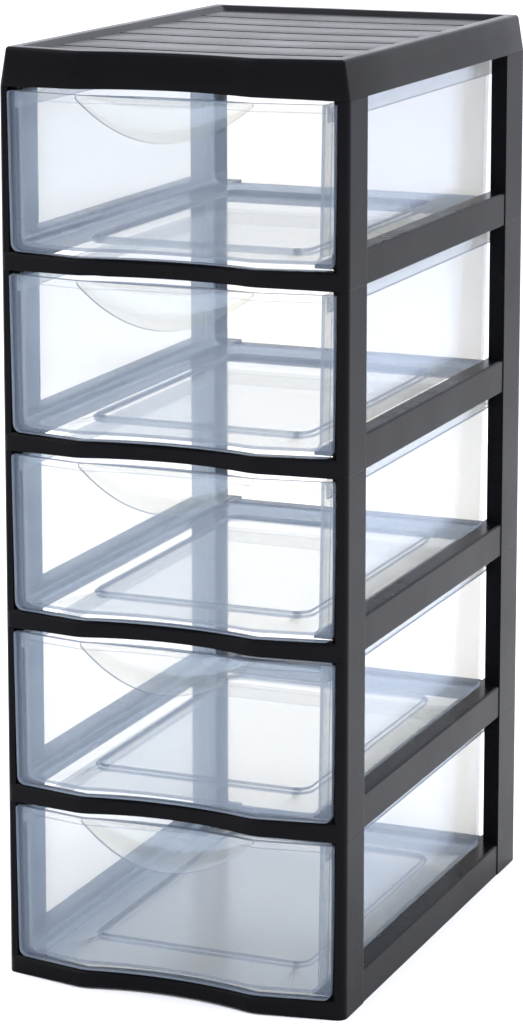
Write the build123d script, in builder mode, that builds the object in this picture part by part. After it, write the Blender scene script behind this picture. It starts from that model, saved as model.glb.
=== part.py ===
"""Plastic drawer tower: five clear drawers in five stacked open frames under a slatted cover.

Millimetres, +Z up, front towards -Y.  The origin is under the middle of the whole object, on
the surface it stands on.  Heights inside a tier are measured from the bottom of that tier.
"""
from build123d import *
import os

# ---------------------------------------------------------------- driving sizes
width = 180.0                # outside, side to side
depth = 262.0                # front corners to back face
tier_count = 5
tier_pitch = 89.0            # height of one tier
cover_height = 19.0          # top cover above the last tier

corner_radius = 5.0          # vertical corners, seen in plan
frame_wall = 2.2             # moulded wall of frames and cover

# wavy front line, seen in plan, measured forward of the front corners
crest_offset = 45.0          # each crest to the middle
crest_reach = 9.0            # crest forward of the corners
valley_reach = 2.5           # valley forward of the corners
crest_radius = 20.0

# posts: channels open towards the drawer
post_depth = 8.5             # outer face to the tips of the flanges
front_post_length = 26.0     # along the side
back_post_length = 31.0
post_proud = 0.4             # posts stand out from the rail between them
rebate_width = 5.2           # post face beside the drawer front
rebate_depth = 4.2           # step that the drawer front lies in

# side rails, front bar and back bar of the ring at the foot of every tier
rail_height = 17.0
ledge_width = 9.5
runner_top = 12.0            # what the drawer slides on
runner_width = 8.5
front_bar_height = 9.0
back_bar_height = 10.0
bar_depth = 8.0              # front to back, a channel open below
bar_edge_bevel = 1.4
rail_edge_bevel = 0.8
arch_rise = 1.5              # lower edge of the front bar lifts in the middle

# stacking tongues on top of the posts
tongue_height = 5.0
tongue_root = 12.0           # how far the tongue runs down inside its own post
tongue_thickness = 2.8       # at its root; it draws in upwards like the cover's wall
tongue_length = 12.0

# top cover
cover_draft = 9.0            # degrees
cover_edge_bevel = 1.6
rim_width = 7.5
recess_depth = 2.6
slat_count = 7
groove_width = 1.3
groove_depth = 1.2
slat_bow = 8.0               # grooves bow forward in the middle

# drawers
drawer_wall = 1.6
front_thickness = 2.0
drawer_back_room = 22.0      # back wall of the drawer to the back face of the tower
drawer_headroom = 1.8        # top of the drawer to the part above
front_bottom = 9.6
front_draft = 1.3            # each side of the front draws in towards the bottom
front_corner_radius = 4.0
front_top_radius = 1.5
front_crest_reach = 8.0
front_valley_reach = 3.0
wall_draft = 1.0             # each wall draws in towards the floor
tub_corner_radius = 6.0
floor_border = 19.0          # tub side to the sunk middle of the floor
floor_front_border = 31.0    # tower front corners to the sunk middle
floor_back_border = 28.0
floor_step = 2.0
floor_panel_radius = 9.0
rim_overhang = 2.0           # flange beyond the side walls
rim_back_overhang = 3.5
rim_lip_height = 8.2
rim_lip_thickness = 1.3

# pull: an awning over the valley of the drawer front
pull_half_width = 46.0
pull_drop = 20.5             # top of the drawer to the lower edge in the middle
pull_end_drop = 1.8          # the same at its two ends
pull_end_reach = 7.5         # its two ends forward of the front corners, on the crests
pull_reach = 12.5            # lower edge forward of the front corners, in the middle
pull_shoulder_reach = 8.6    # where the awning turns down, in the middle
pull_shoulder_drop = 7.0
pull_thickness = 1.5
pull_end_inset = 2.0         # its last section stands this far inside the half width
pull_bend_fall = 0.9         # inner bend below the outer one
pull_edge_fall = 0.1         # the lower edge slopes inwards by this much
pull_sections = 5

# clearances
slide_gap = 0.3              # under the drawer
side_gap = 0.5               # rim to the post flanges
stack_gap = 0.2              # tongues in the next part up
front_gap = 0.4              # drawer front to the rebate

# ---------------------------------------------------------------- derived places
front_y = -(depth - pull_reach) / 2      # plane through the front corners
back_y = front_y + depth
half_width = width / 2
flange_x = half_width - post_depth
drawer_floor = runner_top + slide_gap    # underside of the tub
drawer_top = tier_pitch - drawer_headroom
rim_half = flange_x - side_gap
tub_half = rim_half - rim_overhang
drawer_back = back_y - drawer_back_room
front_half = half_width - rebate_width - front_gap / 2


def wave_region(reach, valley, back, radius=crest_radius):
    """Flat region behind the wavy line: two crests with a shallow valley between them."""
    with BuildSketch() as region:
        with BuildLine():
            crests = (-crest_offset, front_y - reach), (crest_offset, front_y - reach)
            ThreePointArc(crests[0], (0, front_y - valley), crests[1])
            Polyline(crests[1], (half_width, front_y), (half_width, back), (-half_width, back),
                     (-half_width, front_y), crests[0])
        make_face()
        if radius > 0:
            fillet(region.vertices().sort_by(Axis.Y)[:2], radius)
    return region.sketch


def inner_wave_region(reach, valley, back, shift):
    """The same region moved back, with sharp crests, for the inner side of a wall."""
    return wave_region(reach, valley, back, radius=0).moved(Location((0, shift, 0)))


def tower_outline(radius=corner_radius):
    """Plan outline of the frames and the cover; a radius of 0 leaves the corners sharp."""
    with BuildSketch() as outline:
        add(wave_region(crest_reach, valley_reach, back_y))
        if radius > 0:
            corners = outline.vertices().filter_by(lambda v: abs(abs(v.X) - half_width) < 0.01)
            fillet(corners, radius)
    return outline.sketch


def make_arch():
    """Cutter that lifts the lower edge of a front wall in the middle."""
    with BuildPart() as arch:
        with BuildSketch(Plane.XZ.offset(-front_y)):
            with BuildLine():
                span = half_width - rebate_width
                ThreePointArc((-span, 0), (0, arch_rise), (span, 0))
                Line((-span, 0), (span, 0))
            make_face()
        extrude(amount=crest_reach + bar_depth)
    return arch.part


def make_front_bar():
    """Wavy channel, open below, with a bevelled upper edge."""
    wave = (crest_reach, valley_reach, front_y + 2 * bar_depth)
    with BuildPart() as bar:
        with BuildSketch():
            add(wave_region(*wave))
            add(inner_wave_region(*wave, bar_depth), mode=Mode.SUBTRACT)
            with Locations((0, front_y + 4 * bar_depth)):
                Rectangle(width, 4 * bar_depth, mode=Mode.SUBTRACT)
        extrude(amount=front_bar_height)
        top_edges = bar.faces().sort_by(Axis.Z)[-1].edges()
        valley_edge, *flank_edges = top_edges.sort_by(Axis.Y)[:5].sort_by(Axis.X)
        chamfer([valley_edge, *flank_edges], bar_edge_bevel)
        with BuildSketch():
            add(inner_wave_region(*wave, frame_wall))
            add(inner_wave_region(*wave, bar_depth - frame_wall), mode=Mode.SUBTRACT)
            with Locations((0, front_y + 4 * bar_depth)):
                Rectangle(width, 4 * bar_depth, mode=Mode.SUBTRACT)
            with Locations((-half_width, front_y), (half_width, front_y)):
                Rectangle(2 * post_depth, 4 * bar_depth, mode=Mode.SUBTRACT)
        extrude(amount=front_bar_height - frame_wall, mode=Mode.SUBTRACT)
        add(make_arch(), mode=Mode.SUBTRACT)
    return bar.part


def make_tier_frame():
    """One moulding: ring at the foot, four channel posts, tongues for the part above."""
    front_bar = make_front_bar()
    with BuildPart() as frame:
        # posts, left pair drawn and mirrored
        with BuildSketch() as posts:
            with Locations((-half_width, front_y)):
                Rectangle(post_depth, front_post_length, align=(Align.MIN, Align.MIN))
            with Locations((-half_width + rebate_width, front_y)):
                Rectangle(post_depth, rebate_depth, align=(Align.MIN, Align.MIN), mode=Mode.SUBTRACT)
            with Locations((-half_width + frame_wall, front_y + rebate_depth + frame_wall)):
                Rectangle(post_depth, front_post_length - rebate_depth - 2 * frame_wall,
                          align=(Align.MIN, Align.MIN), mode=Mode.SUBTRACT)
            with Locations((-half_width, back_y)):
                Rectangle(post_depth, back_post_length, align=(Align.MIN, Align.MAX))
            with Locations((-half_width + frame_wall, back_y - frame_wall)):
                Rectangle(post_depth, back_post_length - 2 * frame_wall,
                          align=(Align.MIN, Align.MAX), mode=Mode.SUBTRACT)
            mirror(about=Plane.YZ)
        extrude(amount=tier_pitch)

        # rail between the posts: outer wall and top ledge
        rail_x = half_width - post_proud
        rail_front = front_y + front_post_length - frame_wall
        rail_length = depth - front_post_length - back_post_length + 2 * frame_wall
        with BuildSketch(Plane.XZ.offset(-rail_front)) as rail:
            with Locations((-rail_x, 0)):
                Rectangle(frame_wall, rail_height, align=(Align.MIN, Align.MIN))
            with Locations((-rail_x, rail_height)):
                Rectangle(ledge_width - post_proud, frame_wall, align=(Align.MIN, Align.MAX))
            chamfer(rail.vertices().group_by(Axis.X)[0].sort_by(Axis.Y)[-1], rail_edge_bevel)
            mirror(about=Plane.YZ)
        extrude(amount=-rail_length)

        # runner: from the ledge down and inwards, the whole length of the side
        runner_length = depth - rebate_depth - frame_wall
        wall_in = half_width - ledge_width
        wall_out = wall_in + frame_wall
        with BuildSketch(Plane.XZ.offset(-front_y - rebate_depth)):
            with BuildLine():
                Polyline((-half_width + frame_wall, rail_height),
                         (-wall_in, rail_height),
                         (-wall_in, runner_top),
                         (-wall_in + runner_width, runner_top),
                         (-wall_in + runner_width, runner_top - frame_wall),
                         (-wall_out, runner_top - frame_wall),
                         (-wall_out, rail_height - frame_wall),
                         (-half_width + frame_wall, rail_height - frame_wall),
                         close=True)
            make_face()
            mirror(about=Plane.YZ)
        extrude(amount=-runner_length)

        # back bar: straight channel, open below
        with BuildSketch():
            with Locations((0, back_y)):
                Rectangle(width, bar_depth, align=(Align.CENTER, Align.MAX))
        extrude(amount=back_bar_height)
        with BuildSketch():
            with Locations((0, back_y - frame_wall)):
                Rectangle(2 * flange_x, bar_depth - 2 * frame_wall, align=(Align.CENTER, Align.MAX))
        extrude(amount=back_bar_height - frame_wall, mode=Mode.SUBTRACT)

        add(front_bar)

        # rounded corners of the tower
        with BuildSketch():
            add(tower_outline())
        extrude(amount=tier_pitch, mode=Mode.INTERSECT)

        # stacking tongues, rooted in the posts and standing clear of the next post's wall
        tongue_x = -half_width + frame_wall
        front_middle = front_y + rebate_depth + (front_post_length - rebate_depth) / 2
        back_middle = back_y - back_post_length / 2
        with BuildSketch(Plane.XY.offset(tier_pitch - tongue_root)):
            with Locations((tongue_x - frame_wall / 2, front_middle),
                           (tongue_x - frame_wall / 2, back_middle)):
                Rectangle(frame_wall / 2 + stack_gap + tongue_thickness, tongue_length,
                          align=(Align.MIN, Align.CENTER))
            mirror(about=Plane.YZ)
        extrude(amount=tongue_root)
        with BuildSketch(Plane.XY.offset(tier_pitch)):
            with Locations((tongue_x + stack_gap, front_middle), (tongue_x + stack_gap, back_middle)):
                Rectangle(tongue_thickness, tongue_length, align=(Align.MIN, Align.CENTER))
            mirror(about=Plane.YZ)
        extrude(amount=tongue_height, taper=cover_draft)
    return frame.part


def make_top_cover():
    """Shallow tray turned over, with a bevelled rim round a sunk panel of slats."""
    panel_top = cover_height - recess_depth
    with BuildPart() as cover:
        with BuildSketch():
            add(tower_outline())
        extrude(amount=cover_height, taper=cover_draft)
        chamfer(cover.faces().sort_by(Axis.Z)[-1].edges(), cover_edge_bevel)

        # sunk panel
        with BuildSketch(Plane.XY.offset(cover_height)) as panel:
            add(tower_outline())
            offset(amount=-rim_width, kind=Kind.INTERSECTION, mode=Mode.REPLACE)
        extrude(amount=-recess_depth, mode=Mode.SUBTRACT)

        # grooves between the slats, bowed forward
        panel_box = panel.sketch.bounding_box()
        slat_pitch = (panel_box.max.Y - front_y - rim_width) / slat_count
        with BuildSketch(Plane.XY.offset(panel_top)):
            for count in range(1, slat_count):
                ends_y = front_y + rim_width + count * slat_pitch
                groove = ThreePointArc((-half_width, ends_y), (0, ends_y - slat_bow),
                                       (half_width, ends_y), mode=Mode.PRIVATE)
                SlotArc(groove, groove_width)
            add(panel.sketch.moved(Location((0, 0, -cover_height))), mode=Mode.INTERSECT)
        extrude(amount=-groove_depth, mode=Mode.SUBTRACT)

        # hollow underside
        with BuildSketch():
            add(tower_outline(radius=0))
            offset(amount=-frame_wall, kind=Kind.INTERSECTION, mode=Mode.REPLACE)
        extrude(amount=panel_top - groove_depth - frame_wall, taper=cover_draft, mode=Mode.SUBTRACT)
        add(make_arch(), mode=Mode.SUBTRACT)
    return cover.part


def front_view():
    """Outline of a drawer front seen from the front, narrower at the bottom."""
    with BuildSketch(Plane.XZ) as view:
        with BuildLine():
            Polyline((-front_half, drawer_top), (front_half, drawer_top),
                     (front_half - front_draft, front_bottom),
                     (-front_half + front_draft, front_bottom), close=True)
        make_face()
        fillet(view.vertices().group_by(Axis.Y)[0], front_corner_radius)
        fillet(view.vertices().group_by(Axis.Y)[-1], front_top_radius)
    return view.sketch


def make_drawer_front():
    """Curved plate of one thickness behind the wavy face, trimmed to the front view."""
    wave = (front_crest_reach, front_valley_reach)
    with BuildPart() as front:
        with BuildSketch(Plane.XY.offset(front_bottom)):
            add(wave_region(*wave, front_y + 2 * bar_depth))
            add(inner_wave_region(*wave, front_y + 4 * bar_depth, front_thickness),
                mode=Mode.SUBTRACT)
        extrude(amount=drawer_top - front_bottom)
        with BuildSketch(Plane.XZ.offset(-front_y - 2 * bar_depth)):
            add(front_view())
        extrude(amount=4 * bar_depth, mode=Mode.INTERSECT)
    return front.part


def make_tub(inset):
    """Drafted box with rounded corners, cut to the wavy front; inset gives its hollow."""
    floor_z = drawer_floor + inset
    front = front_y - 2 * crest_reach
    with BuildPart() as tub:
        for height, draw_in in ((floor_z, wall_draft), (drawer_top + inset, 0)):
            half = tub_half - draw_in - inset
            back = drawer_back - draw_in - inset
            with BuildSketch(Plane.XY.offset(height)):
                with Locations((0, (front + back) / 2)):
                    RectangleRounded(2 * half, back - front, tub_corner_radius - inset)
        loft()
        with BuildSketch(Plane.XY.offset(drawer_floor)):
            if inset > 0:
                add(inner_wave_region(front_crest_reach, front_valley_reach, back_y, front_thickness))
            else:
                add(wave_region(front_crest_reach, front_valley_reach, back_y))
        extrude(amount=tier_pitch, mode=Mode.INTERSECT)
    return tub.part


def make_rim():
    """Flange round the top of the tub with a lip turned down all round."""
    lip_bottom = drawer_top - rim_lip_height
    with BuildPart() as rim:
        back = drawer_back + rim_back_overhang
        with BuildSketch(Plane.XY.offset(lip_bottom)) as outline:
            with Locations((0, back)):
                Rectangle(2 * rim_half, back - front_y - front_thickness,
                          align=(Align.CENTER, Align.MAX))
            fillet(outline.vertices().group_by(Axis.Y)[-1], tub_corner_radius)
        extrude(amount=rim_lip_height)
        with BuildSketch(Plane.XY.offset(lip_bottom)):
            with Locations((0, back - rim_lip_thickness)):
                Rectangle(2 * (rim_half - rim_lip_thickness), depth,
                          align=(Align.CENTER, Align.MAX))
        extrude(amount=rim_lip_height - drawer_wall, mode=Mode.SUBTRACT)
    return rim.part


def make_pull():
    """Awning over the valley: its lower edge is a smile, its section turns down from the top.

    It is drawn through the wavy face and cut off there, so that it sits on the drawer front.
    """
    with BuildPart() as pull:
        for count in range(pull_sections):
            across = -1 + 2 * count / (pull_sections - 1)
            swell = 1 - across ** 2
            x = across * (pull_half_width - pull_end_inset)
            # face of the drawer at this place, crest to valley
            face = front_valley_reach + (pull_end_reach - front_valley_reach) * across ** 2
            edge_z = drawer_top - pull_end_drop - (pull_drop - pull_end_drop) * swell
            edge_reach = pull_end_reach + (pull_reach - pull_end_reach) * swell
            bend_z = drawer_top - pull_end_drop / 2 - (pull_shoulder_drop - pull_end_drop / 2) * swell
            bend_reach = pull_end_reach + (pull_shoulder_reach - pull_end_reach) * swell
            root_reach = face - front_thickness / 2
            with BuildSketch(Plane.YZ.offset(x)):
                with BuildLine():
                    Polyline((front_y - root_reach, drawer_top),
                             (front_y - bend_reach, bend_z),
                             (front_y - edge_reach, edge_z),
                             (front_y - edge_reach + pull_thickness, edge_z - pull_edge_fall),
                             (front_y - bend_reach + pull_thickness, bend_z - pull_bend_fall),
                             (front_y - root_reach, drawer_top - pull_thickness),
                             close=True)
                make_face()
        loft(ruled=False)
        with BuildSketch(Plane.XY.offset(drawer_floor)):
            add(wave_region(front_crest_reach, front_valley_reach, back_y))
        extrude(amount=tier_pitch, mode=Mode.SUBTRACT)
    return pull.part


def make_drawer():
    """Clear drawer: front, tub with stepped floor, rim with lip; the pull sits on its front."""
    outer = make_tub(0)
    hollow = make_tub(drawer_wall)
    panel_half = tub_half - wall_draft - floor_border
    panel_length = drawer_back - floor_back_border - front_y - floor_front_border
    panel_middle = front_y + floor_front_border + panel_length / 2
    with BuildPart() as drawer:
        add(make_rim())
        add(outer)
        with BuildSketch(Plane.XY.offset(drawer_floor)):
            with Locations((0, panel_middle)):
                RectangleRounded(2 * panel_half, panel_length, floor_panel_radius)
        extrude(amount=-floor_step)
        add(hollow, mode=Mode.SUBTRACT)
        with BuildSketch(Plane.XY.offset(drawer_floor + drawer_wall)):
            with Locations((0, panel_middle)):
                Rectangle(2 * (panel_half - drawer_wall), panel_length - 2 * drawer_wall)
        extrude(amount=-floor_step, mode=Mode.SUBTRACT)
        add(make_drawer_front())
    return drawer.part


def place(shape, label, height):
    """Labelled copy of a moulding at its height in the stack."""
    copy = shape.moved(Location((0, 0, height)))
    copy.label = label
    return copy


frame_moulding = make_tier_frame()
drawer_moulding = make_drawer()
pull_moulding = make_pull()
pieces = [place(make_top_cover(), "top_cover", tier_count * tier_pitch)]
for number in range(1, tier_count + 1):
    level = (number - 1) * tier_pitch
    pieces.append(place(frame_moulding, f"tier_frame_{number}", level))
    pieces.append(place(drawer_moulding, f"drawer_{number}", level))
    pieces.append(place(pull_moulding, f"drawer_{number}_pull", level))

os.makedirs("parts", exist_ok=True)
for piece in pieces:
    export_step(piece, f"parts/{piece.label}.step")
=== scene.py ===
"""Looks of the plastic drawer tower: clear drawers, slatted cover, finishes, studio, camera.

Metres, +Z up, the drawers pull out towards -Y.  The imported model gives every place, and the
shapes here are drawn in millimetres and put into metres as they become meshes.
"""
import logging
import math
from dataclasses import dataclass, field
from enum import Enum
from typing import Any

import bpy
import numpy as np
from mathutils import Euler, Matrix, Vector


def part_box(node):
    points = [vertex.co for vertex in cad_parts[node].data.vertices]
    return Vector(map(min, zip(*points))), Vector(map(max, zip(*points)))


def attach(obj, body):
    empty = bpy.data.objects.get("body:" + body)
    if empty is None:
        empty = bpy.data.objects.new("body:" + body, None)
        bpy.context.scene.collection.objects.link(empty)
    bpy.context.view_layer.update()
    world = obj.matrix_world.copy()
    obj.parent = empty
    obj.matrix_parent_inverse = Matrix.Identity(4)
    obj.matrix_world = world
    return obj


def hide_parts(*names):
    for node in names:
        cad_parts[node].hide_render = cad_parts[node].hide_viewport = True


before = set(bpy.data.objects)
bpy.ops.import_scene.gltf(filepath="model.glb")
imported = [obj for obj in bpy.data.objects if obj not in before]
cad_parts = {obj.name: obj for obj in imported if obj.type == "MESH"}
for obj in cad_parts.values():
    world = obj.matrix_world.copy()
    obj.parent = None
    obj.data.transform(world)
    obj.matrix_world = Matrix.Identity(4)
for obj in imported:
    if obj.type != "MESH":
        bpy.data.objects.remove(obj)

LOG = logging.getLogger("drawer_tower")
MM = 0.001
TOWER_DEPTH = 262.0             # millimetres from the front corners to the back
IMAGE_HEIGHT = 1024

# Points of a plan loop: along a side, round a back corner, between the back corners, and
# round a front corner.
SIDE_POINTS = 5
CORNER_POINTS = 9
BACK_POINTS = 7
FRONT_CORNER_POINTS = 7
# The first points of every loop are its two sides and its back, without the front.
OPEN_COUNT = 2 * (SIDE_POINTS + CORNER_POINTS - 1) + BACK_POINTS


class Slot(Enum):
    """Material slots of the record."""

    FRAME = "frame"
    DRAWER = "drawer"


# ------------------------------------------------------------------ colours and nodes


def linear(hex_code: str) -> tuple[float, float, float, float]:
    """Turns an sRGB hex code into a linear colour.

    Args:
        hex_code: six hex digits with a leading hash.

    Returns:
        Red, green, blue and an alpha of one, for a shader socket.
    """
    parts = [int(hex_code[i:i + 2], 16) / 255 for i in (1, 3, 5)]
    red, green, blue = (part / 12.92 if part <= 0.04045 else ((part + 0.055) / 1.055) ** 2.4
                        for part in parts)
    return red, green, blue, 1.0


def add_node(tree: bpy.types.NodeTree, kind: str, settings: dict[str, Any] | None = None,
             **links: Any) -> bpy.types.Node:
    """Adds one node, sets its properties and sockets, and links what it is given.

    Args:
        tree: node tree that gets the node.
        kind: Blender's node type.
        settings: node properties by attribute name, and sockets by their number as text.
        links: socket names (spaces as underscores) to output sockets or plain values.

    Returns:
        The new node.
    """
    node = tree.nodes.new(kind)
    sockets = {}
    for name, value in (settings or {}).items():
        if name.isdigit():
            sockets[int(name)] = value
        else:
            setattr(node, name, value)
    sockets |= {name.replace("_", " "): value for name, value in links.items()}
    for key, value in sockets.items():
        if isinstance(value, bpy.types.NodeSocket):
            tree.links.new(value, node.inputs[key])
        else:
            node.inputs[key].default_value = value
    return node


def new_material(name: str) -> tuple[bpy.types.Material, bpy.types.NodeTree]:
    """Makes an empty node material.

    Args:
        name: name of the finish.

    Returns:
        The material and its node tree, which holds no node yet.
    """
    material = bpy.data.materials.new(name)
    material.use_nodes = True
    material.node_tree.nodes.clear()
    return material, material.node_tree


# ------------------------------------------------------------------ finishes


@dataclass(frozen=True)
class BlackPolypropylene:
    """Black polypropylene, injection moulded in a tool with a fine spark-eroded texture.

    The eye sees a deep neutral black head on and a soft grey sheen where light grazes it.
    """

    name: str = "moulded_black_polypropylene"
    colour: str = "#09090B"
    worn_colour: str = "#0F0F12"
    ior: float = 1.49
    specular: float = 0.05
    roughness_low: float = 0.22
    roughness_high: float = 0.30
    grain_mm: float = 0.8       # the tool's texture, drawn coarser than it is so that it shows
    grain_strength: float = 0.03
    grain_depth_mm: float = 0.05
    flow_mm: float = 42.0       # slow change of gloss across the moulding
    flow_low: float = 0.3       # noise that gives the lowest roughness
    flow_high: float = 0.7      # noise that gives the highest
    edge_mm: float = 0.7        # rounding that the shading gives sharp edges

    def build(self) -> bpy.types.Material:
        """Builds the material.

        Returns:
            The material.
        """
        material, tree = new_material(self.name)
        place = add_node(tree, "ShaderNodeTexCoord").outputs["Object"]
        flow = add_node(tree, "ShaderNodeTexNoise", Vector=place, Scale=1 / (self.flow_mm * MM),
                        Detail=2.0, Roughness=0.5)
        grain = add_node(tree, "ShaderNodeTexNoise", Vector=place, Scale=1 / (self.grain_mm * MM),
                         Detail=3.0, Roughness=0.6)
        colour = add_node(tree, "ShaderNodeMix", {"data_type": "RGBA", "0": flow.outputs[0],
                                                  "6": linear(self.colour),
                                                  "7": linear(self.worn_colour)})
        gloss = add_node(tree, "ShaderNodeMapRange", {"0": flow.outputs[0], "1": self.flow_low,
                                                      "2": self.flow_high,
                                                      "3": self.roughness_low,
                                                      "4": self.roughness_high})
        bump = add_node(tree, "ShaderNodeBump", Height=grain.outputs[0],
                        Strength=self.grain_strength, Distance=self.grain_depth_mm * MM)
        if self.edge_mm > 0:
            rounded = add_node(tree, "ShaderNodeBevel", {"samples": 4}, Radius=self.edge_mm * MM)
            tree.links.new(rounded.outputs[0], bump.inputs["Normal"])
        shader = add_node(tree, "ShaderNodeBsdfPrincipled", Base_Color=colour.outputs[2],
                          Roughness=gloss.outputs[0], IOR=self.ior, Normal=bump.outputs[0],
                          Specular_IOR_Level=self.specular)
        add_node(tree, "ShaderNodeOutputMaterial", Surface=shader.outputs[0])
        return material


@dataclass(frozen=True)
class ClearPolystyrene:
    """Clear general-purpose polystyrene, injection moulded in a polished tool.

    The eye sees through it: each wall passes most of the light, a little less of the blue, and
    adds a cool sheen of the bright studio, which shows as blue-grey over anything black.  A
    face that the view grazes holds back more.  A darker copy that holds back more is put on the
    cut edge of a wall as painted shade, standing in for the dark line that refraction gives there.
    """

    name: str = "moulded_clear_polystyrene"
    passed_colour: str = "#FEFCF7"
    sheen_colour: str = "#BACFEC"
    cloud_colour: str = "#E2EBF9"
    roughness: float = 0.16
    held: float = 0.10          # share of light that one face holds back, head on
    graze: float = 0.38         # the same added at grazing view
    cloud: float = 0.30         # part of the held light that scatters, the rest is sheen
    facing: float = 0.25        # blend of the node that tells head on from grazing
    ripple_mm: float = 60.0     # slow waves left by the flow in the tool
    ripple_strength: float = 0.2
    ripple_depth_mm: float = 0.6

    def build(self) -> bpy.types.Material:
        """Builds the material.

        Returns:
            The material.
        """
        material, tree = new_material(self.name)
        place = add_node(tree, "ShaderNodeTexCoord").outputs["Object"]
        ripple = add_node(tree, "ShaderNodeTexNoise", Vector=place, Detail=1.0,
                          Scale=1 / (self.ripple_mm * MM))
        bump = add_node(tree, "ShaderNodeBump", Height=ripple.outputs[0],
                        Strength=self.ripple_strength, Distance=self.ripple_depth_mm * MM)
        sheen = add_node(tree, "ShaderNodeBsdfPrincipled", Base_Color=linear(self.sheen_colour),
                         Metallic=1.0, Roughness=self.roughness, Normal=bump.outputs[0])
        skin = add_node(tree, "ShaderNodeBsdfDiffuse", Color=linear(self.cloud_colour))
        glow = add_node(tree, "ShaderNodeBsdfTranslucent", Color=linear(self.cloud_colour))
        inside = add_node(tree, "ShaderNodeMixShader", {"0": 0.5, "1": skin.outputs[0],
                                                        "2": glow.outputs[0]})
        cloud = add_node(tree, "ShaderNodeMixShader", {"0": self.cloud, "1": sheen.outputs[0],
                                                       "2": inside.outputs[0]})
        clear = add_node(tree, "ShaderNodeBsdfTransparent", Color=linear(self.passed_colour))
        graze = add_node(tree, "ShaderNodeLayerWeight", Blend=self.facing)
        share = add_node(tree, "ShaderNodeMapRange", {"0": graze.outputs["Fresnel"], "1": 0.0,
                                                      "2": 1.0, "3": self.held,
                                                      "4": self.held + self.graze})
        body = add_node(tree, "ShaderNodeMixShader", {"0": share.outputs[0], "1": clear.outputs[0],
                                                      "2": cloud.outputs[0]})
        add_node(tree, "ShaderNodeOutputMaterial", Surface=body.outputs[0])
        return material


@dataclass(frozen=True)
class PaleFloor:
    """Matt white painted studio floor."""

    name: str = "matt_white_studio_floor"
    colour: str = "#F7F7F8"
    roughness: float = 0.9

    def build(self) -> bpy.types.Material:
        """Builds the material.

        Returns:
            The material.
        """
        material, tree = new_material(self.name)
        shader = add_node(tree, "ShaderNodeBsdfPrincipled", Base_Color=linear(self.colour),
                          Roughness=self.roughness, Specular_IOR_Level=0.1)
        add_node(tree, "ShaderNodeOutputMaterial", Surface=shader.outputs[0])
        return material


# ------------------------------------------------------------------ surfaces


def arc(centre: tuple[float, float], radius: float, start: float, end: float,
        count: int) -> np.ndarray:
    """Points on a circle: centre plus radius times cosine and sine of evenly spaced angles.

    Args:
        centre: middle of the circle.
        radius: its radius.
        start: first angle in degrees.
        end: last angle in degrees.
        count: number of points.

    Returns:
        Array of count rows and two columns.
    """
    angle = np.radians(np.linspace(start, end, count))
    return np.stack([centre[0] + radius * np.cos(angle), centre[1] + radius * np.sin(angle)], 1)


def strip_faces(rows: np.ndarray, closed: bool = False) -> np.ndarray:
    """Quads between neighbouring rows of vertex numbers.

    Args:
        rows: vertex numbers, one row of the surface per array row.
        closed: whether the last column joins the first.

    Returns:
        Array of four vertex numbers per quad.
    """
    ahead = np.roll(rows, -1, axis=1)
    if not closed:
        rows, ahead = rows[:, :-1], ahead[:, :-1]
    return np.stack([rows[:-1], ahead[:-1], ahead[1:], rows[1:]], -1).reshape(-1, 4)


def rim_faces(faces: np.ndarray, count: int) -> np.ndarray:
    """Quads that join the open edges of a sheet to the same edges of its second side.

    An edge is open when no face walks it the other way.  The second side's vertices follow
    the first side's, so each number there is the first side's plus count.

    Args:
        faces: quads of the first side.
        count: number of vertices of the first side.

    Returns:
        Array of four vertex numbers per quad.
    """
    tails, heads = faces.ravel(), np.roll(faces, -1, axis=1).ravel()
    apart = tails != heads
    tails, heads = tails[apart], heads[apart]
    size = int(faces.max()) + 1
    is_open = ~np.isin(tails * size + heads, heads * size + tails)
    tails, heads = tails[is_open], heads[is_open]
    return np.stack([heads, tails, tails + count, heads + count], 1)


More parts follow.
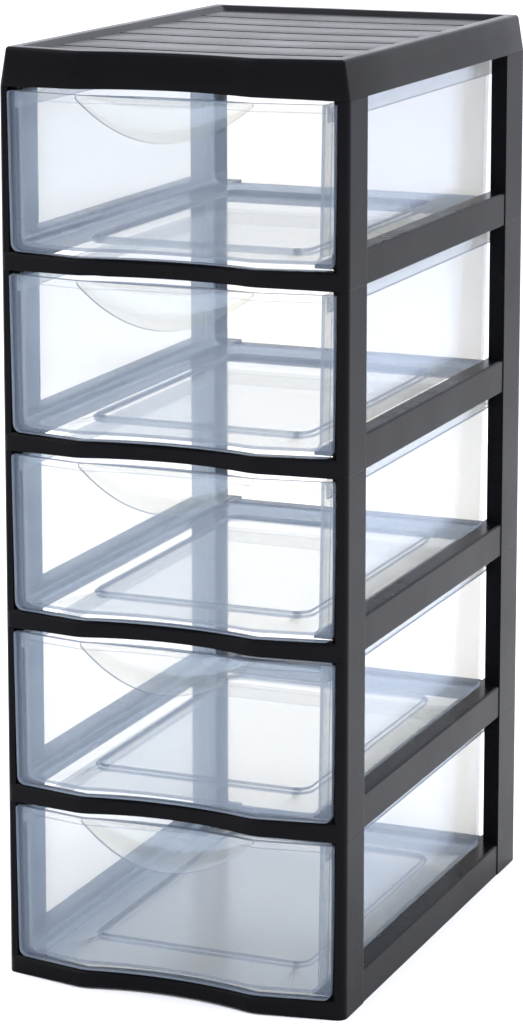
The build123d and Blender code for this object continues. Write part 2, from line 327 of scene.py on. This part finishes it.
@dataclass
class Surface:
    """Vertices in millimetres and faces, gathered shell by shell into one mesh."""

    points: list[np.ndarray] = field(default_factory=list)
    faces: list[list[int]] = field(default_factory=list)
    zones: list[int] = field(default_factory=list)

    def add(self, points: np.ndarray, faces: list[list[int]], edge_count: int = 0) -> None:
        """Adds one closed shell.

        Args:
            points: its vertices, three columns.
            faces: its faces as vertex numbers that start at 0.
            edge_count: how many of the last faces are the cut edge of a wall.
        """
        start = sum(len(block) for block in self.points)
        self.points.append(points)
        self.faces.extend([[number + start for number in face] for face in faces])
        # Zone 1 takes the second finish, which on the drawers is the painted shade of cut edges.
        self.zones.extend([0] * (len(faces) - edge_count) + [1] * edge_count)

    def add_sheet(self, near: np.ndarray, far: np.ndarray, faces: np.ndarray,
                  caps: list[list[int]] | None = None, step_count: int = 0) -> None:
        """Adds a wall: a sheet, the same sheet moved through the thickness, and its rim.

        Args:
            near: vertices of the side whose faces are given.
            far: vertices of the other side, one for each of the near side.
            faces: quads of the near side, anticlockwise seen from outside.
            caps: faces with more corners, which close holes of the near side.
            step_count: how many of the last quads are a step, dressed as a cut edge, which on the
                drawers takes painted shade.
        """
        count = len(near)
        caps = caps or []
        edge = rim_faces(faces, count)
        if caps:
            inside = set(np.concatenate([np.asarray(cap) for cap in caps]).tolist())
            keep = [not (a in inside and b in inside) for a, b in edge[:, :2]]
            edge = edge[np.asarray(keep)]
        split = len(faces) - step_count
        plain, step = faces[:split].tolist() + caps, faces[split:].tolist()
        back, back_step = ([[number + count for number in face[::-1]] for face in part]
                           for part in (plain, step))
        edges = step + back_step + edge.tolist()
        self.add(np.concatenate([near, far]), plain + back + edges, len(edges))

    def add_tube(self, rings: np.ndarray) -> None:
        """Adds a closed ring with a closed section.

        Args:
            rings: array of sections round the ring, by points of the section, by x, y, z.
        """
        sections, points = rings.shape[:2]
        numbers = np.arange(sections * points).reshape(sections, points)
        closed = np.concatenate([numbers, numbers[:1]])
        self.add(rings.reshape(-1, 3), strip_faces(closed, closed=True).tolist())

    def mesh(self, name: str, lift: float, smooth_angle: float = 32.0) -> bpy.types.Mesh:
        """Puts everything into a Blender mesh, in metres, lifted to its place.

        Args:
            name: name of the mesh.
            lift: millimetres that the drawing's zero height stands above the floor.
            smooth_angle: edges that turn by more degrees stay sharp.

        Returns:
            The mesh.
        """
        points = (np.concatenate(self.points) + (0.0, 0.0, lift)) * MM
        mesh = bpy.data.meshes.new(name)
        mesh.from_pydata(points.tolist(), [], self.faces)
        mesh.polygons.foreach_set("material_index", np.array(self.zones, dtype=np.int32))
        mesh.polygons.foreach_set("use_smooth", np.ones(len(mesh.polygons), dtype=bool))
        mesh.set_sharp_from_angle(angle=math.radians(smooth_angle))
        mesh.validate()
        return mesh


def put_in_scene(name: str, mesh: bpy.types.Mesh, finishes: list[bpy.types.Material], body: str,
                 slot: Slot, *nodes: str) -> bpy.types.Object:
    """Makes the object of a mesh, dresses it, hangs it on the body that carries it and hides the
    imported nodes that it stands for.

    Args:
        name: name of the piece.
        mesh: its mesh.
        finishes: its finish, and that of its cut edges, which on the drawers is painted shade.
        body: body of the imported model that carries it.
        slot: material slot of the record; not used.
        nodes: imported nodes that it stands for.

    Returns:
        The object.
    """
    for finish in finishes:
        mesh.materials.append(finish)
    piece = bpy.data.objects.new(name, mesh)
    bpy.context.scene.collection.objects.link(piece)
    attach(piece, body)
    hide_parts(*nodes)
    LOG.info("built %s with %d faces", name, len(mesh.polygons))
    return piece


# ------------------------------------------------------------------ the wavy front line


@dataclass(frozen=True)
class WavyLine:
    """Plan line of a front: two rounded crests with a shallow valley between them.

    Between the crests it is a circle through the valley, whose middle lies in front.  From
    each crest it runs straight to the front corner.  A smaller circle rounds the crest.
    """

    corner_y: float             # plane through the front corners
    crest_reach: float          # crest forward of that plane
    valley_reach: float         # valley forward of that plane
    crest_x: float = 45.0
    half_width: float = 90.0
    crest_radius: float = 20.0
    crest_span: float = 6.0     # reach of the close places on each side of a crest

    @property
    def slope(self) -> float:
        """Rise of the straight flank for each millimetre towards the side."""
        return self.crest_reach / (self.half_width - self.crest_x)

    def y(self, x: np.ndarray) -> np.ndarray:
        """Plan line at each x.

        Where the flank and the valley circle meet, the crest circle touches both: its centre
        lies one crest radius behind the flank and one valley radius plus one crest radius from
        the valley's centre.

        Args:
            x: places across the tower.

        Returns:
            The line's y at each of them.
        """
        across = np.abs(np.asarray(x, dtype=float))
        sagitta = self.crest_reach - self.valley_reach
        radius = (self.crest_x ** 2 + sagitta ** 2) / (2 * sagitta)
        middle_y = self.corner_y - self.valley_reach - radius
        flank = np.array([1.0, self.slope]) / math.hypot(1, self.slope)
        behind = np.array([-flank[1], flank[0]])
        start = np.array([self.crest_x, self.corner_y - self.crest_reach])
        offset = start + self.crest_radius * behind - np.array([0.0, middle_y])
        along = offset @ flank
        reach = along ** 2 - offset @ offset + (radius + self.crest_radius) ** 2
        centre = offset + (math.sqrt(reach) - along) * flank + np.array([0.0, middle_y])
        flank_x = (centre - self.crest_radius * behind)[0]
        valley_x = centre[0] * radius / (radius + self.crest_radius)
        valley = middle_y + np.sqrt(np.maximum(radius ** 2 - across ** 2, 0.0))
        straight = self.corner_y - self.crest_reach + self.slope * (across - self.crest_x)
        crest = centre[1] - np.sqrt(np.maximum(self.crest_radius ** 2 - (across - centre[0]) ** 2,
                                               0.0))
        return np.where(across < valley_x, valley, np.where(across > flank_x, straight, crest))

    def places(self, half: float) -> np.ndarray:
        """Places across the front, close together on the crests.

        Args:
            half: distance of the first and the last place from the middle.

        Returns:
            Increasing x values, symmetric about the middle.
        """
        first, last = self.crest_x - self.crest_span, self.crest_x + self.crest_span
        inner = np.concatenate([np.linspace(0, first - 1, 14), np.linspace(first, last, 19),
                                np.linspace(last + 3, half, 7)])
        return np.concatenate([-inner[:0:-1], inner])

    def loop(self, half: float, shift: float, back: float, corner_radius: float,
             back_radius: float, flat_front: float | None = None) -> np.ndarray:
        """Closed plan loop: left side, back, right side and front, clockwise seen from above.

        It starts at the front of the left side and runs back, across and forward, then along
        the front from right to left.  Loops of every size have the same number of points.

        Args:
            half: half width of the loop.
            shift: distance of the loop's front behind the wavy line.
            back: y of the back side.
            corner_radius: radius of the two front corners.
            back_radius: radius of the two back corners.
            flat_front: y of a straight front, in place of the wavy one.

        Returns:
            Points as rows of x and y.
        """
        slope = self.slope if flat_front is None else 0.0
        lean = math.degrees(math.atan(slope))
        centre_x = half - corner_radius
        if flat_front is None:
            meet = self.corner_y + shift + slope * (centre_x - self.half_width)
        else:
            meet = flat_front
        centre_y = meet + corner_radius * math.hypot(1, slope)
        right = arc((centre_x, centre_y), corner_radius, 0, lean - 90, FRONT_CORNER_POINTS)
        side_y = np.linspace(centre_y, back - back_radius, SIDE_POINTS)
        side = np.stack([np.full(SIDE_POINTS, half), side_y], 1)
        corner = arc((half - back_radius, back - back_radius), back_radius, 0, 90, CORNER_POINTS)
        back_x = np.linspace(back_radius - half, half - back_radius, BACK_POINTS + 2)[1:-1]
        behind = np.stack([back_x, np.full(BACK_POINTS, back)], 1)
        front_x = self.places(right[-1, 0])[::-1][1:-1]
        front_y = self.y(front_x) + shift if flat_front is None else np.full(len(front_x), meet)
        front = np.stack([front_x, front_y], 1)
        mirror = np.array([-1.0, 1.0])
        return np.concatenate([side * mirror, corner[1:] * mirror, behind, corner[::-1],
                               side[::-1][1:], right[1:], front, right[:0:-1] * mirror])


# ------------------------------------------------------------------ drawers


@dataclass
class Drawer:
    """Clear drawer: a basin with a lipped rim behind a wavy front plate, with an awning pull.

    Heights are measured from the bottom of the drawer's tier.
    """

    corner_y: float             # plane through the tower's front corners
    top: float = 87.2
    wall: float = 1.6
    # front plate
    front_half: float = 84.6
    front_bottom: float = 9.6
    front_thickness: float = 2.0
    front_draft: float = 1.3
    front_corner: float = 4.0
    front_top_corner: float = 1.5
    edge_rib: float = 2.4       # width of the rib behind the plate's edge
    edge_rib_depth: float = 0.9
    rib_step: float = 0.3       # width of its flank
    rib_above_corner: float = 0.2
    rib_below_top: float = 1.4
    front_lap: float = 0.3      # how far the basin reaches into the plate
    # basin
    tub_half: float = 79.0
    tub_back: float = 240.0     # behind the front corners
    tub_floor: float = 12.3
    tub_corner: float = 6.0
    tub_front_corner: float = 0.4
    draft: float = 1.0
    foot_radius: float = 3.2
    panel_half: float = 59.0
    panel_front: float = 31.0   # behind the front corners
    panel_back: float = 212.0   # behind the front corners
    panel_corner: float = 9.0
    panel_step: float = 2.0
    panel_slope: tuple[float, ...] = (0.0, 0.35, 0.8)   # insets of the rows down the step
    # rim
    rim_half: float = 81.0
    rim_back: float = 243.5     # behind the front corners
    lip_height: float = 8.2
    lip_thickness: float = 1.3
    rim_round: float = 0.7
    lip_ease: float = 0.3       # fall of the lip's underside, for each 45 degrees of its turn
    lip_taper: float = 0.08     # lip's growth towards the top, for each 45 degrees
    wall_ease: float = 0.2      # fall of the rim's underside at the wall, for each 45 degrees
    # pull
    pull_half: float = 45.5
    pull_drop: float = 20.5
    pull_end_drop: float = 1.8
    pull_end_reach: float = 7.6
    pull_reach: float = 12.4
    pull_shoulder_reach: float = 10.5
    pull_shoulder_drop: float = 5.2
    pull_thickness: float = 1.4
    pull_taper: float = 0.8     # share of that thickness by which the underside hangs lower
    pull_edge: float = 0.02     # thickness left at the free edge
    pull_below_top: float = 0.05
    pull_root: float = 0.4      # how far the outer face reaches into the plate
    pull_inner_root: float = 1.2

    def __post_init__(self) -> None:
        """Works out the wavy line of the front plate."""
        self.line = WavyLine(self.corner_y, crest_reach=8.0, valley_reach=3.0)

    def add_front(self, surface: Surface) -> None:
        """Adds the front plate.

        The near side is a grid of x across and z up: the half width shrinks evenly towards
        the bottom, and by a quarter circle at each corner.  Its y is the wavy line.  The far
        side lies one thickness behind it, and one rib depth more close to the edge.

        Args:
            surface: surface that gets the plate.
        """
        turn = np.radians(np.linspace(0, 90, 7))
        low = self.front_bottom + self.front_corner * (1 - np.cos(turn))
        high = self.top - self.front_top_corner * (1 - np.cos(turn[::-1]))
        rib_low = (self.front_bottom + self.front_corner + self.rib_above_corner
                   + np.array([0.0, self.rib_step]))
        rib_high = (self.top - self.edge_rib - self.rib_below_top
                    - np.array([self.rib_step, 0.0]))
        z = np.concatenate([low, rib_low, rib_high, high])
        inset = np.concatenate([self.front_corner * (1 - np.sin(turn)), np.zeros(4),
                                self.front_top_corner * (1 - np.sin(turn[::-1]))])
        half = self.front_half - self.front_draft * (self.top - z) / (self.top - self.front_bottom)
        half = half - inset
        places = self.line.places(self.front_half)
        marks = self.front_half - self.edge_rib - np.array([self.rib_step, 0.0])
        places = np.sort(np.concatenate([places, marks, -marks]))
        x = places[None, :] / self.front_half * half[:, None]
        near = np.stack([x, self.line.y(x), np.broadcast_to(z[:, None], x.shape)], -1)
        slack = self.rib_step / 3
        ribbed = ((np.abs(places)[None, :] > self.front_half - self.edge_rib - slack)
                  | (z[:, None] < rib_low[0] + slack) | (z[:, None] > rib_high[1] - slack))
        far = near + np.stack([np.zeros_like(x), self.front_thickness
                               + self.edge_rib_depth * ribbed, np.zeros_like(x)], -1)
        numbers = np.arange(x.size).reshape(x.shape)
        surface.add_sheet(near.reshape(-1, 3), far.reshape(-1, 3), strip_faces(numbers))

    def basin_rows(self) -> tuple[list[tuple[float, ...]], list[tuple[float, ...]]]:
        """Sections of the basin's two sides, row by row from the lip to the sunk floor.

        The lip and the rim turn on quarter circles, the wall draws in evenly with depth and
        meets the floor on a quarter circle, and the step down to the panel is half a cosine.

        Returns:
            Rows of half width, back (behind the front corners), back radius and height, for
            the upper side and for the lower side.
        """
        wall, top, lip = self.wall, self.top, self.top - self.lip_height
        edge = self.rim_round
        height = top - self.tub_floor

        def side(inset: float, z: float) -> tuple[float, ...]:
            """Wall of the tub at a height, inset from its outer face."""
            drawn_in = inset + self.draft * (top - z) / height
            return (self.tub_half - drawn_in, self.tub_back - drawn_in,
                    self.tub_corner - inset, z)

        upper = [(self.rim_half, self.rim_back, self.tub_corner, lip)]
        lower = [(self.rim_half - self.lip_thickness, self.rim_back - self.lip_thickness,
                  self.tub_corner - self.lip_thickness, lip)]
        for angle in (0, 45, 90):
            inset = edge * (1 - math.cos(math.radians(angle)))
            z = top - edge * (1 - math.sin(math.radians(angle)))
            upper.append((self.rim_half - inset, self.rim_back - inset,
                          self.tub_corner - inset, z))
            down = wall + self.lip_ease * (2 - angle / 45)
            thick = self.lip_thickness + self.lip_taper * angle / 45
            lower.append((self.rim_half - thick, self.rim_back - thick,
                          self.tub_corner - self.lip_thickness, top - down))
        for angle in (90, 45, 0):
            turned = math.radians(angle)
            upper.append(side(wall - edge * (1 - math.cos(turned)),
                              top - edge * (1 - math.sin(turned))))
            lower.append(side(0.0, top - wall - self.wall_ease * (2 - angle / 45)))
        for angle in range(0, 91, 15):
            turned = math.radians(angle)
            for rows, inset, foot, radius in ((upper, wall, wall, self.foot_radius),
                                              (lower, 0.0, 0.0, self.foot_radius + wall)):
                z = self.tub_floor + foot + radius * (1 - math.sin(turned))
                rows.append(side(inset + radius * (1 - math.cos(turned)), z))
        for rows, foot, shrink in ((upper, wall, wall), (lower, 0.0, 0.0)):
            for step in self.panel_slope:
                ease = 1 - math.cos(math.pi * step / self.panel_slope[-1])
                rows.append((self.panel_half - shrink - step, self.panel_back - shrink - step,
                             self.panel_corner - shrink,
                             self.tub_floor + foot - self.panel_step * ease / 2))
        return upper, lower

    def add_basin(self, surface: Surface) -> None:
        """Adds floor, walls and rim as one wall of plastic.

        Each row of the section is a closed plan loop.  Above the floor the loop's front is
        left out, because the plate is there.  The sunk panel's flat middle is one face.  The
        step round it has the finish of a cut edge, painted shade which draws its outline.

        Args:
            surface: surface that gets the basin.
        """
        sides = []
        upper, lower = self.basin_rows()
        panel_rows = len(self.panel_slope)
        for rows in (upper, lower):
            loops = []
            for number, (half, back, radius, z) in enumerate(rows):
                on_panel = number >= len(rows) - panel_rows
                if on_panel:
                    shrink = self.panel_half - half
                    loop = self.line.loop(half, 0.0, self.corner_y + back, radius, radius,
                                          flat_front=self.corner_y + self.panel_front + shrink)
                else:
                    sunk = self.front_thickness - self.front_lap
                    loop = self.line.loop(half, sunk, self.corner_y + back,
                                          self.tub_front_corner, radius)
                loops.append(np.column_stack([loop, np.full(len(loop), z)]))
            sides.append(np.stack(loops))
        numbers = np.arange(sides[0].shape[0] * sides[0].shape[1]).reshape(sides[0].shape[:2])
        floor_row = numbers.shape[0] - panel_rows - 1
        walls = strip_faces(numbers[:floor_row + 1, :OPEN_COUNT])
        floor = strip_faces(numbers[floor_row:], closed=True)
        faces = np.concatenate([walls, floor])[:, ::-1]
        used = np.unique(faces)
        renumber = np.zeros(numbers.size, dtype=int)
        renumber[used] = np.arange(len(used))
        near, far = (side.reshape(-1, 3)[used] for side in sides)
        cap = renumber[numbers[-1]].tolist()
        surface.add_sheet(near, far, renumber[faces], [cap[::-1]],
                          step_count=2 * numbers.shape[1])

    def add_pull(self, surface: Surface) -> None:
        """Adds the awning over the valley.

        Across it the reach and the drop swell as one minus the square of the place.  From the
        drawer's top edge down, the section is a curve with one control point, the shoulder.

        Args:
            surface: surface that gets the pull.
        """
        across = np.sin(np.radians(np.linspace(-90, 90, 41)))
        swell = 1 - across ** 2
        x = across * self.pull_half
        front_y = self.line.y(x)
        root_y = front_y + self.pull_root
        ends_y = self.corner_y - self.pull_end_reach
        edge_y = ends_y - (self.pull_reach - self.pull_end_reach) * swell
        edge_z = self.top - self.pull_end_drop - (self.pull_drop - self.pull_end_drop) * swell
        bend_y = ends_y - (self.pull_shoulder_reach - self.pull_end_reach) * swell
        bend_z = self.top - self.pull_end_drop / 2 - self.pull_shoulder_drop * swell
        t = np.linspace(0, 1, 13)[:, None]
        weights = (1 - t) ** 2, 2 * t * (1 - t), t ** 2
        y = weights[0] * root_y + weights[1] * bend_y + weights[2] * edge_y
        root_z = self.top - self.pull_below_top
        z = weights[0] * root_z + weights[1] * bend_z + weights[2] * edge_z
        y = np.minimum(y, root_y)
        near = np.stack([np.broadcast_to(x, y.shape), y, z], -1)
        down = self.pull_thickness * self.pull_taper * (1 - t) * swell + self.pull_edge
        inner_y = np.minimum(y + self.pull_thickness, front_y + self.pull_inner_root)
        far = np.stack([np.broadcast_to(x, y.shape), inner_y, z - down], -1)
        numbers = np.arange(y.size).reshape(y.shape)
        surface.add_sheet(near.reshape(-1, 3), far.reshape(-1, 3), strip_faces(numbers)[:, ::-1])

    def build(self, number: int, lift: float,
              finishes: list[bpy.types.Material]) -> bpy.types.Object:
        """Builds one drawer at its tier.

        Args:
            number: tier, counted from the floor.
            lift: height of the tier's bottom in millimetres.
            finishes: finish of its walls, and the painted shade of their cut edges.

        Returns:
            The drawer.
        """
        surface = Surface()
        self.add_front(surface)
        self.add_basin(surface)
        self.add_pull(surface)
        name = f"clear_drawer_{number}"
        return put_in_scene(name, surface.mesh(name, lift), finishes, f"drawer_{number}_body",
                            Slot.DRAWER, f"drawer_{number}", f"drawer_{number}_pull")


# ------------------------------------------------------------------ cover


@dataclass
class Cover:
    """Black top cover: a rounded rim round a sunk panel of slats.

    Heights are measured from the cover's lower edge.
    """

    corner_y: float
    back_y: float
    half_width: float = 90.0
    corner_radius: float = 5.0
    least_radius: float = 0.5   # of the corners well inside the outline
    height: float = 19.0
    draft: float = 9.0          # degrees that the wall leans in
    top_round: float = 2.0
    foot_round: float = 0.4
    wall: float = 2.2
    rim_inner: float = 9.5      # rim's inner edge, inside the outline
    inner_slope: float = 4.0    # width of the slope from that edge down to the panel
    inner_round: float = 0.4
    recess: float = 2.6
    panel_thickness: float = 2.4
    panel_lap: float = 0.4      # how far the panel reaches into the rim
    lap: float = 0.1            # small overlap of rim and panel, and set-in of the bevel below
    bevel: float = 0.9          # bevel between the wall and the rim's underside
    arch_rise: float = 1.5
    arch_half: float = 84.8
    arch_height: float = 9.0    # height at which the arch has faded out
    slat_count: int = 7
    slat_bow: float = 8.0
    groove_width: float = 3.4
    groove_depth: float = 1.7
    groove_draft: float = 0.3   # how far each wall of a groove leans in
    lip_round: float = 0.15

    def __post_init__(self) -> None:
        """Works out the wavy line of the cover."""
        self.line = WavyLine(self.corner_y, crest_reach=9.0, valley_reach=2.5,
                             half_width=self.half_width)

    def section(self) -> np.ndarray:
        """Closed section of the rim, inset from the outline against height.

        The wall leans in with height and turns over on a circle that touches it and the top.

        Returns:
            Rows of inset and height.
        """
        lean = math.radians(self.draft)
        foot = self.foot_round
        centre_z = self.height - self.top_round
        centre = centre_z * math.tan(lean) + self.top_round / math.cos(lean)
        turn = arc((centre, centre_z), self.top_round, 180 - self.draft, 90, 12)
        inner = arc((self.rim_inner - self.inner_round, self.height - self.inner_round),
                    self.inner_round, 90, 60, 4)
        under = self.height - self.recess - self.panel_thickness
        inner_top = self.wall + under * math.tan(lean)
        slope_foot = self.rim_inner + self.inner_slope
        rows = [(foot, 0.0), (0.3 * foot, 0.3 * foot), (foot * math.tan(lean), foot),
                *turn.tolist(), *inner.tolist(),
                (slope_foot, self.height - self.recess - self.lap), (slope_foot, under),
                (inner_top + self.lap + self.bevel, under),
                (inner_top + self.lap, under - self.bevel), (self.wall, 0.0)]
        return np.array(rows)

    def add_rim(self, surface: Surface) -> None:
        """Adds the rim: its section carried round the plan outline, arched over the front.

        The arch lifts the front's lower edge by one minus the square of the place across,
        and fades out evenly with height.

        Args:
            surface: surface that gets the rim.
        """
        rings = []
        for inset, z in self.section():
            radius = max(self.corner_radius - inset, self.least_radius)
            loop = self.line.loop(self.half_width - inset, inset, self.back_y - inset, radius,
                                  radius)
            x = loop[:, 0]
            is_front = np.arange(len(loop)) >= OPEN_COUNT
            rise = self.arch_rise * np.clip(1 - (x / self.arch_half) ** 2, 0, 1) * is_front
            lifted = z + rise * max(0.0, 1 - z / self.arch_height)
            rings.append(np.column_stack([loop, lifted]))
        surface.add_tube(np.stack(rings, axis=1))

    def add_panel(self, surface: Surface) -> None:
        """Adds the sunk panel as a height field of slats with grooves between them.

        Its lines across bow forward by one minus the square of the place.  A line in a slat
        lies at the panel's height, and one in a groove lower.

        Args:
            surface: surface that gets the panel.
        """
        inset = self.rim_inner - self.panel_lap
        half = self.half_width - inset
        back = self.back_y - inset
        x = self.line.places(half)
        front = self.line.y(x) + inset
        flat_front = self.corner_y + inset
        bow = self.slat_bow * (1 - (x / self.half_width) ** 2)
        pitch = (back - flat_front) / self.slat_count
        turn = np.radians(np.linspace(0, 90, 5))
        lip_y = self.lip_round * np.sin(turn)
        lip_z = self.lip_round * (1 - np.cos(turn))
        half_groove = self.groove_width / 2
        half_bed = half_groove - self.lip_round - self.groove_draft
        profile_y = np.concatenate([lip_y - half_groove, [-half_bed, half_bed],
                                    half_groove - lip_y[::-1]])
        profile_z = np.concatenate([-lip_z, [-self.groove_depth] * 2, -lip_z[::-1]])
        ends = flat_front + pitch * np.arange(1, self.slat_count)
        offsets = (ends[:, None] + profile_y).ravel()
        depths = np.concatenate([[0.0], np.tile(profile_z, self.slat_count - 1), [0.0]])
        lines = offsets[:, None] - bow[None, :]
        y = np.concatenate([front[None, :], lines, np.full((1, len(x)), back)])
        z = np.broadcast_to(depths[:, None] + self.height - self.recess, y.shape)
        near = np.stack([np.broadcast_to(x, y.shape), y, z], -1).reshape(-1, 3)
        far = near.copy()
        far[:, 2] = self.height - self.recess - self.panel_thickness
        numbers = np.arange(y.size).reshape(y.shape)
        surface.add_sheet(near, far, strip_faces(numbers))

    def build(self, lift: float, finish: bpy.types.Material) -> bpy.types.Object:
        """Builds the cover on top of the last tier.

        Args:
            lift: height of its lower edge in millimetres.
            finish: its finish.

        Returns:
            The cover.
        """
        surface = Surface()
        self.add_rim(surface)
        self.add_panel(surface)
        name = "slatted_top_cover"
        return put_in_scene(name, surface.mesh(name, lift), [finish, finish], "housing",
                            Slot.FRAME, "top_cover")


# ------------------------------------------------------------------ studio and camera


@dataclass
class Camera:
    """Camera at the photograph's angle; sizes in metres, degrees and pixels of the photograph."""

    place: tuple[float, float, float] = (0.663, -1.61875, 0.627)
    yaw: float = 22.41
    pitch: float = 9.85
    focal_px: float = 3494.0
    shift: float = -0.2
    sensor_mm: float = 36.0

    def build(self) -> bpy.types.Object:
        """Makes the camera and gives it to the scene.

        Returns:
            The camera.
        """
        data = bpy.data.cameras.new("camera")
        data.sensor_width = self.sensor_mm
        data.lens = self.focal_px / IMAGE_HEIGHT * self.sensor_mm
        data.shift_y = self.shift
        data.clip_start, data.clip_end = 0.05, 30.0
        camera = bpy.data.objects.new("camera", data)
        camera.location = self.place
        camera.rotation_euler = Euler((math.radians(90 - self.pitch), 0, math.radians(self.yaw)))
        bpy.context.scene.collection.objects.link(camera)
        bpy.context.scene.camera = camera
        return camera


@dataclass(frozen=True)
class Softbox:
    """One rectangular studio light that faces a target at the tower."""

    name: str
    place: tuple[float, float, float]
    size: tuple[float, float]
    power: float
    target: tuple[float, float, float] = (0.0, 0.0, 0.23)
    mirrored: bool = True       # whether gloss reflects it

    def build(self) -> bpy.types.Object:
        """Makes the light.

        Returns:
            The light.
        """
        data = bpy.data.lights.new(self.name, "AREA")
        data.shape = "RECTANGLE"
        data.size, data.size_y = self.size
        data.energy = self.power
        light = bpy.data.objects.new(self.name, data)
        light.location = self.place
        aim = Vector(self.target) - Vector(self.place)
        light.rotation_euler = aim.to_track_quat("-Z", "Y").to_euler()
        light.visible_camera = False
        light.visible_glossy = self.mirrored
        bpy.context.scene.collection.objects.link(light)
        return light


@dataclass
class Studio:
    """Pale floor, bright surroundings that are dimmer towards the viewer, and soft lights."""

    floor_size: float = 30.0
    sky_colour: str = "#F4F6FF"
    back_strength: float = 1.68
    front_strength: float = 0.85
    zenith_strength: float = 0.4
    blend_y: float = 0.6        # part of the way to the back at which the back's strength holds
    clear_bounces: int = 48     # clear faces that a ray may pass
    lights: list[Softbox] = field(default_factory=lambda: [
        Softbox("key_front_right_above", (1.3, -1.9, 2.3), (2.6, 2.0), 34.0),
        Softbox("fill_front_left_above", (-1.7, -1.5, 2.0), (2.4, 2.0), 24.0),
        Softbox("side_right_low", (2.1, 0.5, 1.0), (1.6, 0.8), 8.0,
                target=(0.0, 0.0, 0.1), mirrored=False),
        Softbox("behind_above", (-0.3, 0.8, 1.2), (1.2, 0.8), 10.0,
                target=(-0.1, 0.25, 0.0), mirrored=False),
    ])

    def build(self) -> None:
        """Makes floor, surroundings and lights."""
        half = self.floor_size / 2
        mesh = bpy.data.meshes.new("studio_floor")
        mesh.from_pydata([(-half, -half, 0), (half, -half, 0), (half, half, 0), (-half, half, 0)],
                         [], [(0, 1, 2, 3)])
        floor = bpy.data.objects.new("studio_floor", mesh)
        bpy.context.scene.collection.objects.link(floor)
        mesh.materials.append(PaleFloor().build())

        world = bpy.data.worlds.new("studio")
        world.use_nodes = True
        tree = world.node_tree
        tree.nodes.clear()
        way = add_node(tree, "ShaderNodeTexCoord").outputs["Generated"]
        split = add_node(tree, "ShaderNodeSeparateXYZ", Vector=way)
        level = add_node(tree, "ShaderNodeMapRange", {"0": split.outputs["Y"],
                                                      "1": -self.blend_y, "2": self.blend_y,
                                                      "3": self.front_strength,
                                                      "4": self.back_strength})
        overhead = add_node(tree, "ShaderNodeMapRange", {"0": split.outputs["Z"], "1": 0.0,
                                                         "2": 1.0, "3": 0.0,
                                                         "4": self.zenith_strength})
        total = add_node(tree, "ShaderNodeMath", {"operation": "ADD", "0": level.outputs[0],
                                                  "1": overhead.outputs[0]})
        sky = add_node(tree, "ShaderNodeBackground", Color=linear(self.sky_colour),
                       Strength=total.outputs[0])
        add_node(tree, "ShaderNodeOutputWorld", Surface=sky.outputs[0])
        bpy.context.scene.world = world
        for light in self.lights:
            light.build()
        bpy.context.scene.view_settings.view_transform = "Standard"
        bpy.context.scene.cycles.transparent_max_bounces = self.clear_bounces


def dress(node: bpy.types.Object, material: bpy.types.Material) -> None:
    """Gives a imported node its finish.

    Args:
        node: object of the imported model.
        material: finish for its only slot.
    """
    if node.material_slots:
        for entry in node.material_slots:
            entry.material = material
    else:
        node.data.materials.append(material)
    LOG.info("dressed %s", node.name)


def main() -> None:
    """Builds drawers and cover, dresses the frames, and sets up the studio and the camera."""
    logging.basicConfig(level=logging.INFO, format="%(name)s: %(message)s")
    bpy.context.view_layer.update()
    back_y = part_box("tier_frame_1")[1].y / MM
    corner_y = back_y - TOWER_DEPTH
    black = BlackPolypropylene().build()
    cover_black = BlackPolypropylene(name="moulded_black_polypropylene_cover",
                                     edge_mm=0.0).build()
    clear = [ClearPolystyrene().build(),
             # The second finish is painted shade: darker and holding back more, it stands in for
             # the dark line that refraction gives at cut edges and at the panel's step.
             ClearPolystyrene(name="clear_polystyrene_cut_edge_painted_shade", passed_colour="#DCE2EA",
                              sheen_colour="#A4AEBC", cloud_colour="#8E98A6", held=0.55,
                              cloud=0.7).build()]
    for name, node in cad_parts.items():
        if name.startswith("tier_frame"):
            dress(node, black)
            number = int(name.rsplit("_", 1)[1])
            Drawer(corner_y).build(number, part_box(name)[0].z / MM, clear)
    Cover(corner_y, back_y).build(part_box("top_cover")[0].z / MM, cover_black)
    Studio().build()
    Camera().build()


if __name__ == "__main__":
    main()
